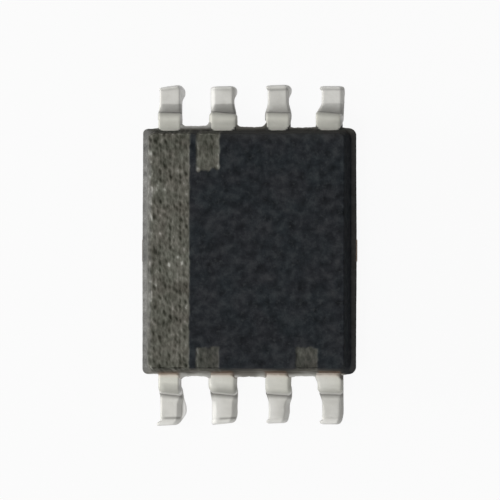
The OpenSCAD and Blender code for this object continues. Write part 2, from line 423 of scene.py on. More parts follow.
# Moulded body: rounding of its edges, lean of its walls, the top face inside the rounding, the step of its
# grid in x and y, and the widths of the ramps of height and of tone at the edge of an etched field
FILLET = 0.012
WALL_LEAN = math.atan2(DRAFT_INSET, BODY_TOP - FRAME_TOP)
FACE_INSET = DRAFT_INSET + FILLET * math.tan((math.pi / 2 - WALL_LEAN) / 2)
FACE_HALF = (WALL_HALF[0] - FACE_INSET, WALL_HALF[1] - FACE_INSET)
FACE_CORNER = WALL_CORNER - FACE_INSET
LINE_STEP = (0.0082, 0.00943)
EDGE_RAMP = 0.004
TONE_RAMP = 0.020
# The upper mould half stood a little to -Y of the lower one, and the +X end came out narrower: shift of the
# face in y, scales in x of the face and of the parting band, and the share of the shift at the ledge
FACE_SHIFT = -0.0135
FAR_SCALE = 0.985
FAR_BAND_SCALE = 0.9935
SHIFT_AT_LEDGE = 0.6
# Swelling of the parting band over the tie bars, at the -X and at the +X end, its half length, and how far
# the band was trimmed back on the +Y side
TIE_BULGE = (0.003, 0.005)
TIE_HALF = 0.62
FAR_SIDE_TRIM = 0.008
# Strength of the etch on the end band and on the long, the near short and the far short bar
MARK_STRENGTHS = (1.0, 0.96, 0.66, 0.63)
# How far the edges of the etched fields wander in x, and in y at the long bar's and the short bars' ends
RAGGED_X = 0.010
RAGGED_LONG_END = 0.050
RAGGED_SHORT_END = 0.020
# Webs between the leads: the side, the middle in x, the reach past the band and how pale the resin is
WEBS = ((1, -0.5, 0.023, 1.05), (1, 0.0, 0.013, 0.32), (1, 0.5, 0.008, 0.30),
        (-1, -0.5, 0.020, 0.42), (-1, 0.0, 0.026, 0.10), (-1, 0.5, 0.022, 0.30))
WEB_HALF = 0.17
# Reach of the resin fillets against the -X and the +X flank of each lead, by side, in the order of x
FILLETS = {1: ((0.008, 0.030), (0.038, 0.030), (0.048, 0.010), (0.008, 0.008)),
           -1: ((0.006, 0.032), (0.022, 0.006), (0.018, 0.004), (0.010, 0.006))}
# Paler and darker stretches of the -Y wall: middle in x, half length, change of the flash and painted light
# there
SOUTH_FLASH = ((-0.75, 0.20, 0.32), (-0.42, 0.075, 0.32), (-0.17, 0.060, -0.19), (0.12, 0.055, 0.25),
               (0.33, 0.070, -0.22), (0.54, 0.075, 0.37))


def grid_lines(half, edges, step):
    """Places of grid lines from -half to half: even runs no wider than step between a tight pair at each edge
    of an etched field."""
    fixed = sorted([-half, half] + [e + d for e in edges for d in (-EDGE_RAMP / 2, EDGE_RAMP / 2)])
    counts = [max(2, math.ceil((b - a) / step) + 1) for a, b in zip(fixed[:-1], fixed[1:])]
    runs = [np.linspace(a, b, n)[:-1] for a, b, n in zip(fixed[:-1], fixed[1:], counts)]
    return np.concatenate(runs + [[half]])


def etched_fields(x, y):
    """1 on the end band and the three bars, 0 off them, with a ramp across each edge; the strength of the
    etch there, with a wider ramp; and how near a long edge of a bar is. The edges wander, most at the bars'
    ends."""
    ragged_x = x + RAGGED_X * wander(x, y, 0.035, 61)
    ragged_y = y + np.where(y > 0, RAGGED_LONG_END, RAGGED_SHORT_END) * wander(x, 0 * y, 0.045, 63)
    ragged_y = ragged_y + 0.014 * wander(x, y, 0.025, 64)

    def fields(width):
        def past(value, edge):
            return np.clip((value - edge) / width + 0.5, 0, 1)

        def before(value, edge):
            return np.clip((edge - value) / width + 0.5, 0, 1)
        near = past(ragged_x, NEAR_BAR_X) * before(ragged_x, NEAR_BAR_END_X)
        far = past(ragged_x, FAR_BAR_X) * before(ragged_x, FAR_BAR_END_X)
        short = before(ragged_y, SHORT_BAR_END_Y)
        return np.stack([before(ragged_x, BAND_EDGE_X), near * past(ragged_y, LONG_BAR_END_Y),
                         near * short, far * short])
    strengths = np.array(MARK_STRENGTHS).reshape(-1, 1, 1)
    near_edge = sum(bell(ragged_x - edge, 0.022) for edge in (NEAR_BAR_X, NEAR_BAR_END_X, FAR_BAR_END_X))
    return fields(EDGE_RAMP).max(axis=0), (fields(TONE_RAMP) * strengths).max(axis=0), near_edge


def etch_tone(x, y, near_edge):
    """Slow drift of the etched tone from 0 to 1: coarse noise, paler along the outer edge, where it breaks
    into patches, along the bars' long edges and in patches at the long bar's end, and darker at the face's
    sides."""
    tone = 0.585 + 0.16 * wander(x, y * 0.6, 0.050, 13) + 0.14 * wander(x, y, 0.16, 15)
    outer = np.exp(-((x + FACE_HALF[0]) / 0.036) ** 4)
    tone = tone + outer * (0.10 + 0.20 * smooth_step(0.50, 0.85, lattice_noise(x, y, 0.036, 25)))
    on_bars = x > BARS_START_X
    tone = tone + on_bars * (0.22 * near_edge - np.where(y > 0, 0.045, 0.08))
    at_end = bell(y + FACE_SHIFT - LONG_BAR_END_Y - 0.030, 0.026)
    tone = tone + 0.35 * at_end * on_bars * smooth_step(0.45, 0.75, lattice_noise(x, y, 0.050, 67))
    tone = tone - 0.06 * smooth_step(FACE_HALF[1] - 0.075, FACE_HALF[1] - 0.01, np.abs(y))
    return np.clip(tone, 0.0, 1.0)


def bleach_wave(y):
    """Slow wave of the bleached end and its painted light along y, from -1 to 1."""
    return np.cos(2 * math.pi * (y - 0.53) / 1.045)


def top_face():
    """The top face: a grid of lines in x and y whose corners are rounded by carrying each corner square onto
    a quarter disc, (p sqrt(1 - q^2 / 2), q sqrt(1 - p^2 / 2)), with the etched fields sunk into it."""
    edges_x = [BAND_EDGE_X, NEAR_BAR_X, NEAR_BAR_END_X, FAR_BAR_X / FAR_SCALE, FAR_BAR_END_X / FAR_SCALE]
    edges_y = [LONG_BAR_END_Y - FACE_SHIFT, SHORT_BAR_END_Y - FACE_SHIFT]
    flat_x, flat_y = np.meshgrid(grid_lines(FACE_HALF[0], edges_x, LINE_STEP[0]),
                                 grid_lines(FACE_HALF[1], edges_y, LINE_STEP[1]))
    core = np.array(FACE_HALF) - FACE_CORNER
    p = np.clip((np.abs(flat_x) - core[0]) / FACE_CORNER, 0, 1)
    q = np.clip((np.abs(flat_y) - core[1]) / FACE_CORNER, 0, 1)
    corner = (p > 0) & (q > 0)
    disc_x = np.sign(flat_x) * (core[0] + FACE_CORNER * p * np.sqrt(1 - q * q / 2))
    disc_y = np.sign(flat_y) * (core[1] + FACE_CORNER * q * np.sqrt(1 - p * p / 2))
    even_x, y = np.where(corner, disc_x, flat_x), np.where(corner, disc_y, flat_y)
    x = np.where(even_x > 0, even_x * FAR_SCALE, even_x)
    mark, strength, near_edge = etched_fields(x, y + FACE_SHIFT)
    tone = etch_tone(x, y, near_edge)
    relief = 0.0035 * (0.5 - tone) + 0.001
    z = BODY_TOP - mark * (ETCH_DEPTH + relief) - (1 - mark) * 0.0012 * lattice_noise(x, y, 0.03, 17)
    # The bleached strip along the -X edge is partly painted light from the left
    bleach_width = 0.014 + 0.050 * lattice_noise(0 * x, y, 0.060, 73) * lattice_noise(x, y, 0.030, 75)
    bleached = 0.42 * smooth_step(bleach_width, 0.2 * bleach_width, x + FACE_HALF[0])
    bleached = bleached * (1 + 0.35 * bleach_wave(y)) * (0.25 + 0.75 * smooth_step(1.05, 0.72, np.abs(y)))
    flash = 0.045 * smooth_step(FACE_HALF[1] - 0.080, FACE_HALF[1], y)
    return SimpleNamespace(
        shape=x.shape, core=core, points=np.stack([x, y + FACE_SHIFT, z], axis=-1).reshape(-1, 3),
        flat=np.stack([flat_x, flat_y], axis=-1).reshape(-1, 2),
        even=np.stack([even_x, y], axis=-1).reshape(-1, 2),
        layers={"etched": strength, "etch_tone": tone, "bleached": bleached, "flash": flash, "stain": 0 * x})


def nearest_lead(x, side):
    """Place of the nearest lead on that side in the order of x, whether x is past its middle, and the
    distance in x from its flank."""
    place = np.clip(np.floor(x / LEAD_PITCH) + 2, 0, 3).astype(int)
    offset = x - (place - 1.5) * LEAD_PITCH
    past = (offset > 0).astype(int)
    pins = [8, 7, 6, 5] if side > 0 else [1, 2, 3, 4]
    flanks = np.array([(LEAD_EDGES[pin][0], LEAD_EDGES[pin][3]) for pin in pins])
    return place, past, np.clip(np.abs(offset) - flanks[place, past], 0, 1)


def web_shape(x, side):
    """Reach and paleness of the webs on that side: each web's own values over the middle of its gap, falling
    to 0 at the leads as exp(-((x - middle) / half)^8)."""
    total = np.zeros((2, *x.shape))
    for way, middle, reach, pale in WEBS:
        if way == side:
            shape = np.exp(-((x - middle) / WEB_HALF) ** 8)
            total += np.stack([reach * shape, pale * shape])
    return total


def web_reach(x, side, seed):
    """How far the resin between two leads stands out past the parting band: a thin web with a ragged edge,
    rising in a hollow fillet against the flank of each lead."""
    ragged = 0.007 * wander(x, 0 * x, 0.045, seed) + 0.003 * wander(x, 0 * x, 0.016, seed + 1)
    place, past, apart = nearest_lead(x, side)
    fillet = np.array(FILLETS[side])[place, past] * np.exp(-apart / 0.018)
    return (web_shape(x, side)[0] + ragged + fillet) * smooth_step(0.94, 0.88, np.abs(x))


def body_rings():
    """The rings of the shell below the top face, in columns: half length, half width, corner radius, height
    at the sides, height at the ends, and the shares of the etched depth, of the web, of the etched tone, of
    the bleached end and its painted light, of the flash and its painted light, and of the face's shift in y
    that reach each ring."""
    rings = []

    def ring(a, b, r, side_z, end_z, etch=0.0, web=0.0, tint=0.0, bleach=0.0, flash=0.0, moved=0.0):
        rings.append((a, b, r, side_z, end_z, etch, web, tint, bleach, flash, moved))

    def wall_ring(inset, level, **shares):
        rise = (level - FRAME_TOP) / (BODY_TOP - FRAME_TOP)
        moved = SHIFT_AT_LEDGE + (1 - SHIFT_AT_LEDGE) * rise if rise > 0 else 0.0
        a, b, r = [size - inset for size in (*WALL_HALF, WALL_CORNER)]
        ring(a, b, r, level, level, moved=moved, **shares)

    def band_ring(t, side_z, end_z, **shares):
        a, b = [wall + t * (band - wall) for wall, band in zip(WALL_HALF, BAND_HALF)]
        ring(a, b, WALL_CORNER + t * (BAND_CORNER - WALL_CORNER), side_z, end_z, **shares)

    # Top fillet and upper wall
    for angle in np.linspace(math.pi / 2, WALL_LEAN, 6)[1:]:
        down = 1 - math.sin(angle)
        wall_ring(FACE_INSET - FILLET * math.cos(angle), BODY_TOP - FILLET * down,
                  etch=1 - 0.5 * down, tint=0.95, bleach=0.42, flash=0.06 * down)
    first_inset = FACE_INSET - FILLET * math.cos(WALL_LEAN)
    first_level = BODY_TOP - FILLET * (1 - math.sin(WALL_LEAN))
    for t in (0.06, 0.14, 0.25, 0.38, 0.52, 0.66, 0.80, 0.90):
        wall_ring(first_inset * (1 - t), first_level + t * (FRAME_TOP - first_level),
                  etch=max(0.0, 0.5 - 4 * t), tint=0.9 - 0.5 * t, bleach=0.42 + 0.28 * t,
                  flash=0.15 + 0.85 * t)
    # Ledge and the upper edge of the parting band
    side_level, end_level = FRAME_TOP - 0.0045, FRAME_TOP + 0.0015
    wall_ring(0.0020, FRAME_TOP + 0.006, tint=0.4, bleach=0.7, flash=1.0)
    band_ring(0.06, side_level + 0.0015, end_level + 0.004, tint=0.4, bleach=0.8, flash=1.0, moved=0.6)
    band_ring(0.18, side_level + 0.0010, end_level + 0.0015, tint=0.3, bleach=0.95, flash=1.0, moved=0.4)
    band_ring(0.45, side_level, end_level, web=0.4, tint=0.2, bleach=1.0, flash=1.0)
    band_ring(0.80, side_level - 0.0008, end_level, web=0.8, tint=0.1, bleach=1.0, flash=1.0)
    band_ring(0.95, side_level - 0.0030, end_level - 0.0012, web=0.95, bleach=0.9, flash=1.0)
    band_ring(1.00, side_level - 0.0090, end_level - 0.0060, web=1.0, bleach=0.6, flash=1.0)
    # Rim and the lower edge of the parting band
    for t in (0.7, 0.35):
        band_ring(1.00, FRAME_UNDER + t * SHEET, FRAME_UNDER + t * SHEET, web=1.0, flash=0.3)
    band_ring(1.00, FRAME_UNDER + 0.009, FRAME_UNDER + 0.006, web=0.9, flash=0.3)
    band_ring(0.90, FRAME_UNDER + 0.002, FRAME_UNDER - 0.0015, web=0.8, flash=0.3)
    band_ring(0.30, FRAME_UNDER + 0.002, FRAME_UNDER - 0.0015, web=0.1, flash=0.3)
    # Lower wall, lower fillet and underside
    wall_ring(0.0020, FRAME_UNDER - 0.012)
    low_lean = math.atan2(DRAFT_INSET, FRAME_UNDER - BODY_UNDER)
    low_face = DRAFT_INSET + FILLET * math.tan((math.pi / 2 - low_lean) / 2)
    low_inset = low_face - FILLET * math.cos(low_lean)
    low_level = BODY_UNDER + FILLET * (1 - math.sin(low_lean))
    for t in (0.3, 0.6, 0.85):
        wall_ring(t * low_inset, FRAME_UNDER + t * (low_level - FRAME_UNDER))
    for angle in np.linspace(low_lean, math.pi / 2, 5):
        wall_ring(low_face - FILLET * math.cos(angle), BODY_UNDER + FILLET * (1 - math.sin(angle)))
    for shrink in (0.92, 0.7, 0.4, 0.12):
        ring(*[shrink * (size - low_face) for size in (*WALL_HALF, WALL_CORNER)], BODY_UNDER, BODY_UNDER)
    return np.array(rings)


def rim_ways(out):
    """From outward directions: the side, 1 or -1, on the straight runs along x and 0 elsewhere, and the
    shares of the -X and of the +X end."""
    straight = (np.abs(out[:, 1]) > 0.999) * np.sign(out[:, 1])
    return straight, smooth_step(-0.2, -0.85, out[:, 0]), smooth_step(0.3, 0.9, out[:, 0])


def ring_looks(x, y, z, out, shares, rim_strength, rim_tone):
    """Layers of the rings from their places, their outward directions and the shares that reach them: etched
    and bleached as the rim above them, flash by side with the webs' own paleness, and the stain over -Y
    leads. The etched tone, the bleached end and the flash carry painted light and shade by the way a wall
    faces."""
    etch, web, tint, bleach, flash = shares
    straight, near_end, far_end = rim_ways(out)
    on_side, north = np.abs(straight), straight > 0
    # Painted light and shade in the etched tone: paler on walls facing +Y or -Y, darker on the -Y top fillet
    tone = 0.55 * rim_tone + 0.45 * lattice_noise(x + y, z, 0.02, 37)
    near_fillet = smooth_step(0.4, 0.6, etch) * smooth_step(0.2, 0.8, -out[:, 1])
    tone = tone + 0.10 * out[:, 1] ** 2 - 0.26 * near_fillet
    # The bleached -X end is partly painted light from the left, and less at the corners, where the fillet is
    # lit more
    at_corner = smooth_step(0.15, 0.55, np.abs(out[:, 0] * out[:, 1])) * (bleach < 0.5)
    bleached = near_end * bleach * (1 + 0.13 * bleach_wave(y)) * (1 - 0.55 * at_corner)
    bleached = bleached * (0.75 + 0.5 * wander(y, z, 0.06, 43))

    # Painted light: flash paler on walls facing -Y than on those facing +Y, and the upper +Y wall lifted
    south_flash = 0.47 - 0.22 * smooth_step(0.62, 0.85, x) - 0.20 * smooth_step(0.84, 0.90, x)
    for middle, half, change in SOUTH_FLASH:
        south_flash = south_flash + change * bell(x - middle, half)
    facing = out[:, 1] ** 2 * np.where(out[:, 1] < 0, south_flash, 0.20)
    flashed = flash * facing * (0.7 + 0.6 * lattice_noise(x + 3 * z, y, 0.07, 47))
    north_wall = smooth_step(0.3, 0.9, out[:, 1]) * smooth_step(FRAME_TOP + 0.12, FRAME_TOP + 0.24, z)
    flashed = flashed + 0.075 * north_wall + 0.11 * far_end * smooth_step(0.75, 0.95, bleach)
    pale = np.where(north, web_shape(x, 1)[1], web_shape(x, -1)[1])
    apart = np.where(north, nearest_lead(x, 1)[2], nearest_lead(x, -1)[2])
    pale = pale + 0.65 * np.exp(-apart / 0.028) * np.where(north, smooth_step(-0.25, -0.35, x), 1.0)
    onto_web = np.where(north, smooth_step(0.1, 0.7, web), smooth_step(0.2, 0.9, web))
    rim_pale = smooth_step(0.85, 1.0, web) * np.where(north, 0.40, 0.22)
    flashed = np.clip(flashed + on_side * (onto_web * pale + rim_pale), 0, 1)

    from_lead = np.abs(((x / LEAD_PITCH) % 1.0 - 0.5) * LEAD_PITCH)
    low_wall = smooth_step(FRAME_TOP + 0.20, FRAME_TOP + 0.04, z) * (z > FRAME_TOP - 0.02)
    stain = (straight < 0) * low_wall * smooth_step(0.12, 0.085, from_lead)
    stain = stain * (0.5 + 0.5 * lattice_noise(x, z, 0.05, 71))
    return {"etched": rim_strength * tint, "etch_tone": tone, "bleached": bleached, "flash": flashed,
            "stain": stain}


def moulded_body():
    """One closed shell. The rim of the top face runs on as rings round the rounded rectangle: over the top
    fillet, down the drafted wall, across the ledge, over the parting band with its webs, and down the lower
    wall to the underside, where the rings shrink to a pole."""
    face = top_face()
    number = np.arange(len(face.points)).reshape(face.shape)
    corners = [number[:-1, :-1], number[:-1, 1:], number[1:, 1:], number[1:, :-1]]
    face_quads = np.stack(corners, axis=-1).reshape(-1, 4)
    rim = np.concatenate([number[0, :-1], number[:-1, -1], number[-1, :0:-1], number[:0:-1, 0]])
    middle = np.clip(face.flat[rim], -face.core, face.core)
    out = face.even[rim] - middle
    out /= np.linalg.norm(out, axis=1)[:, None]
    share = middle / face.core

    rings = body_rings()
    a, b, r, side_z, end_z, etch, web, tint, bleach, flash, moved = np.moveaxis(rings[:, None, :], -1, 0)
    on_band = np.clip((a - WALL_HALF[0]) / (BAND_HALF[0] - WALL_HALF[0]), 0, 1)
    r = r + (FAR_BAND_CORNER - BAND_CORNER) * on_band * (share[:, 0] > 0)
    x = share[:, 0] * (a - r) + r * out[:, 0]
    far_scale = np.interp(moved, [0.0, SHIFT_AT_LEDGE], [FAR_BAND_SCALE, FAR_SCALE])
    x = np.where(x > 0, x * far_scale, x)
    straight, near_end, far_end = rim_ways(out)
    reach = np.where(straight > 0, web_reach(x, 1, 23), web_reach(x, -1, 29))
    y = share[:, 1] * (b - r) + r * out[:, 1] + web * straight * reach
    y = y + FACE_SHIFT * moved - FAR_SIDE_TRIM * web * np.clip(out[:, 1], 0, 1)
    bulge = TIE_BULGE[1] * far_end - TIE_BULGE[0] * near_end
    x = x + bulge * (a > WALL_HALF[0] + 0.03) * bell(y, TIE_HALF)
    rim_drop = BODY_TOP - face.points[rim, 2]
    z = side_z + out[:, 0] ** 2 * (end_z - side_z) - etch * rim_drop
    sides = np.stack([x, y, z], axis=-1)
    sides += 0.0012 * (flash[..., None] > 0) * wander(x + z, y, 0.02, 31)[..., None]
    rim_layers = [face.layers[name].ravel()[rim] for name in ("etched", "etch_tone")]
    looks = ring_looks(x, y, z, out, (etch, web, tint, bleach, flash), *rim_layers)

    count, start = len(rim), len(face.points)
    loops = np.concatenate([rim, start + np.arange(len(rings) * count)]).reshape(-1, count)
    pole = start + len(rings) * count
    cap = np.stack([loops[-1], np.full(count, pole), np.roll(loops[-1], -1)], axis=-1)
    points = np.concatenate([face.points, sides.reshape(-1, 3), [[0, 0, BODY_UNDER]]])
    layers = {name: np.concatenate([face.layers[name].ravel(), looks[name].ravel(), [0.0]]) for name in looks}
    quads = np.concatenate([face_quads, ring_quads(loops)])
    body = make_piece("body_shell", points, quads, cap, layers, MOULD)
    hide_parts("moulded_body")


# Leads, by pin: distance of the -X edge from the middle line at the shoulder, the heel and the foot, then of
# the +X edge
LEAD_EDGES = {
    1: (0.1010, 0.1240, 0.1182, 0.1113, 0.0960, 0.0830),
    2: (0.1330, 0.1470, 0.1320, 0.1337, 0.1137, 0.1090),
    3: (0.0990, 0.1203, 0.0957, 0.1400, 0.1250, 0.1000),
    4: (0.1140, 0.1161, 0.0930, 0.1250, 0.1074, 0.1060),
    5: (0.1325, 0.1420, 0.0990, 0.1160, 0.1062, 0.1120),
    6: (0.0980, 0.1320, 0.1100, 0.1305, 0.1150, 0.0870),
    7: (0.1336, 0.1452, 0.1511, 0.1305, 0.0958, 0.0735),
    8: (0.1065, 0.1447, 0.1300, 0.1156, 0.0789, 0.0808),
}
# Edge radius on the -X and on the +X flank, then height, middle (from the tip) and half length of the trim
# burr on the +X flank, reach of the tip's lip to -X, and painted shade on the crown and in the lip's crease
LEAD_TRIM = {
    1: (0.020, 0.044, 0.044, 0.150, 0.095, 0.033, 0.45, 0.62),
    2: (0.050, 0.050, 0.002, 0.070, 0.040, 0.004, 0.52, 0.62),
    3: (0.020, 0.050, 0.000, 0.070, 0.040, 0.024, 0.20, 0.08),
    4: (0.022, 0.040, 0.000, 0.080, 0.040, 0.032, 0.30, 0.15),
    5: (0.016, 0.037, 0.004, 0.060, 0.040, 0.020, 0.50, 0.30),
    6: (0.018, 0.023, 0.028, 0.056, 0.050, 0.018, 0.50, 0.48),
    7: (0.050, 0.021, 0.026, 0.056, 0.046, 0.002, 0.63, 0.15),
    8: (0.016, 0.028, 0.028, 0.074, 0.050, 0.004, 0.58, 0.14),
}
# The forming tool stood a little to -Y of the body, and the tips were trimmed to their own lengths: how much
# further out the bends start, and how much longer the foot is
BEND_SHIFT = {1: 0.0235, 2: 0.019, 3: 0.020, 4: 0.016, 5: -0.015, 6: -0.013, 7: -0.012, 8: -0.0095}
TIP_TRIM = {1: 0.0115, 2: 0.0, 3: -0.005, 4: 0.009, 5: -0.015, 6: -0.004, 7: -0.014, 8: -0.0095}
# Slant of the bends and of the tip: how far they run out along the lead for each mm to +X
BEND_SLANT = {1: 0.12, 2: 0.10, 3: 0.075, 4: 0.04, 5: -0.10, 6: -0.03, 7: -0.10, 8: -0.04}
TIP_SLANT = {1: -0.05, 2: -0.10, 3: -0.04, 6: 0.03, 7: 0.02, 8: 0.15}
# Corner radius of the tip on the -X and on the +X side, and the share of it that is cut away
TIP_CORNERS = {1: (0.012, 0.060), 2: (0.010, 0.050), 3: (0.030, 0.045), 4: (0.055, 0.050),
               5: (0.025, 0.030), 6: (0.030, 0.035), 7: (0.030, 0.030), 8: (0.012, 0.055)}
TIP_CORNER_SHARE = 0.7
# Length of the lip that falls away at the tip, and by side how far it falls
LIP_LENGTH = {1: 0.064, 2: 0.045, 3: 0.038, 4: 0.060, 5: 0.026, 6: 0.040, 7: 0.026, 8: 0.024}
LIP_DROP = {1: 0.003, -1: 0.012}
# Widening of the -X edge at the root
ROOT_FLARE = {4: 0.024}
# How square the crown is, how flat the upper edges are, and radii of the lower edges and of the closing at
# the tip
CROWN_POWER = 3.6
EDGE_POWER = 1.5
UNDER_RADIUS = 0.014
TIP_ROUND = 0.014
# Insets of the first rings at the cut inner end, stations along each stretch of the path, and places of the
# running sum that they are read from
CUT_INSETS = (0.008, 0.003, 0.0)
PATH_STATIONS = (4, 30, 130, 50)
PATH_STEPS = 4001

# Finish of the leads, most of it painted light and shade. Painted shade on the crown: by side where it
# starts, in arcs of the bend, and by pin how much earlier it ends
CROWN_START = {1: 0.35, -1: -0.10}
CROWN_LEAD = {1: 0.40}
# Painted shade in the crease of each heel and painted shadow on the foot beside it, how far that shade
# spreads by side, the range of the shadow across the rows, and the margin that it leaves along the -X edge
HEEL_MARKS = {1: (0.70, 0.0), 2: (0.70, 0.0), 3: (0.70, 0.0), 4: (0.66, 0.0),
              5: (0.26, 0.24), 6: (0.30, 0.08), 7: (0.60, 0.44), 8: (0.55, 0.37)}
HEEL_SPREAD = {1: 0.010, -1: 0.040}
HEEL_SHADOW_START = 1.32
HEEL_SHADOW_END = 1.397
HEEL_SHADOW_MARGIN = {5: 0.050, 6: 0.015, 7: 0.060, 8: 0.036}
# Painted shade across the shoulder with its middle and half length, and its tilt towards +X
SHOULDER_SHADE = {5: 0.22, 6: 0.20, 7: 0.25, 8: 0.16}
SHADE_PLACE = (1.195, 0.036)
SHADE_TILT = {5: 0.35, 6: -0.35, 7: 0.30, 8: 0.0}
# Painted shade over the whole foot, and over its +X side
FOOT_PAINTED_SHADE = {1: 0.05, 2: 0.06, 3: 0.03, 4: 0.06, 6: 0.08}
FOOT_SHADE = {3: 0.17, 4: 0.10}
# Painted light: highlight on the foot's -X edge, light on the shoulder, on the whole foot and its -X side,
# and by side a highlight on the lip
EDGE_HIGHLIGHT = {2: 0.60, 5: 0.12, 7: 0.60}
SHOULDER_LIGHT = {1: 0.03, 2: 0.17, 3: 0.14, 4: 0.22}
FOOT_LIGHT = {2: (0.0, 0.26), 3: (0.0, 0.20), 5: (0.20, 0.0), 7: (0.0, 0.20)}
LIP_HIGHLIGHT = {1: 0.80, -1: 0.40}
# Painted light on the +X flank at the shoulder and at the heel where above 0, painted shade below it
FLANK_PAINTED_LIGHT = {1: (0.90, 0.10), 2: (0.25, 0.10), 3: (0.0, 0.30), 4: (-0.25, -0.22),
              5: (0.70, 0.25), 6: (0.35, 0.35), 7: (0.0, 0.10), 8: (0.90, 1.0)}
# Resin over the root: by side where it ends and how softly; how much further it creeps along the -X and the
# +X edge; by side the shares of the half width over which that grows, and its power; its darkness at the +X
# corner on the -Y side; and the brown that it leaves
ROOT_Y = {1: 1.119, -1: 1.159}
ROOT_BLUR = {1: 0.004, -1: 0.011}
ROOT_CREEP = {1: (0.0, 0.0), 2: (0.0, 0.026), 3: (0.0, 0.018), 4: (0.0, 0.046),
              5: (0.060, 0.060), 6: (0.060, 0.060), 7: (0.060, 0.060), 8: (0.030, 0.030)}
CREEP_CURVE = {1: (0.40, 1.0, 2.2), -1: (0.40, 0.88, 1.8)}
ROOT_DARK = {2: 0.6, 3: 0.6, 4: 0.6}
ROOT_BROWN = {1: 0.90, 2: 0.80, 3: 0.75, 4: 0.60}
# Warm tint of the shoulder, by side its most at the root, and where that ends
WARM_SHOULDER = 0.38
WARM_ROOT = {1: 0.38, -1: 1.0}
WARM_ROOT_END = 1.215


def section():
    """Rounded rectangle as places round its rim: how far each lies from the left core to the right one, from
    the lower to the upper one, and the direction in which its edge radius points. The upper edges lie between
    a quarter circle and a flat chamfer: cosine and sine are raised to a power."""
    quarter = np.linspace(0, math.pi / 2, 8)
    top = np.linspace(0, 1, 12)[1:-1]
    flank = np.linspace(0, 1, 17)[1:-1]
    edge, sides, flats = np.ones(len(quarter)), np.ones(len(flank)), np.ones(len(top))
    across = np.concatenate([edge, 1 - top, 0 * edge, 0 * sides, 0 * edge, top, edge, sides])
    up = np.concatenate([edge, flats, edge, 1 - flank, 0 * edge, 0 * flats, 0 * edge, flank])
    angle = np.concatenate([quarter, flats * math.pi / 2, quarter + math.pi / 2, sides * math.pi,
                            quarter + math.pi, flats * 1.5 * math.pi, quarter + 1.5 * math.pi, 0 * sides])
    power = np.where(up > 0.5, EDGE_POWER, 1.0)
    ways = [np.sign(way) * np.abs(way) ** power for way in (np.cos(angle), np.sin(angle))]
    return across, up, *ways


def lead_path(pin):
    """Stations along the middle of the sheet, in columns. The heading falls from level to the lean of the
    shank and back in even turns, and the path is its running sum. Gives the length s, the distance q across
    the rows, the height, the heading, the inset of the section, and the lengths at which the bends start and
    end."""
    arc = BEND_MIDDLE * TURN
    shank = (FRAME_UNDER - 2 * BEND_MIDDLE * (1 - math.cos(TURN))) / math.sin(TURN)
    straight = BEND_START + BEND_SHIFT[pin] - FINGER_END
    marks = np.cumsum([0.0, straight, arc, shank, arc, FOOT_LENGTH + TIP_TRIM[pin]])
    crown, crown_end, heel, heel_end, tip = marks[1:]
    fine = np.linspace(0, tip, PATH_STEPS)
    heading = np.interp(fine, marks, [0, 0, TURN, TURN, 0, 0])
    half_way = (heading[1:] + heading[:-1]) / 2
    fine_q = FINGER_END + np.concatenate([[0], np.cumsum(np.cos(half_way) * fine[1])])
    fine_z = FRAME_UNDER + SHEET / 2 - np.concatenate([[0], np.cumsum(np.sin(half_way) * fine[1])])
    close = np.linspace(0, math.pi / 2, 7)
    stops = [0.0, 0.02, crown - 0.12, heel_end + 0.04, tip - TIP_ROUND]
    runs = [np.linspace(a, b, n)[:-1] for a, b, n in zip(stops[:-1], stops[1:], PATH_STATIONS)]
    s = np.concatenate(runs + [tip - TIP_ROUND + TIP_ROUND * np.sin(close)])[:, None]
    between = np.zeros(len(s) - len(CUT_INSETS) - len(close))
    inset = np.concatenate([CUT_INSETS, between, TIP_ROUND * (1 - np.cos(close))])[:, None]
    q, z, lean = [np.interp(s, fine, values) for values in (fine_q, fine_z, heading)]
    return SimpleNamespace(s=s, q=q, z=z, lean=lean, inset=inset, from_tip=tip - s, arc=arc, crown=crown,
                           crown_end=crown_end, heel=heel, heel_end=heel_end)


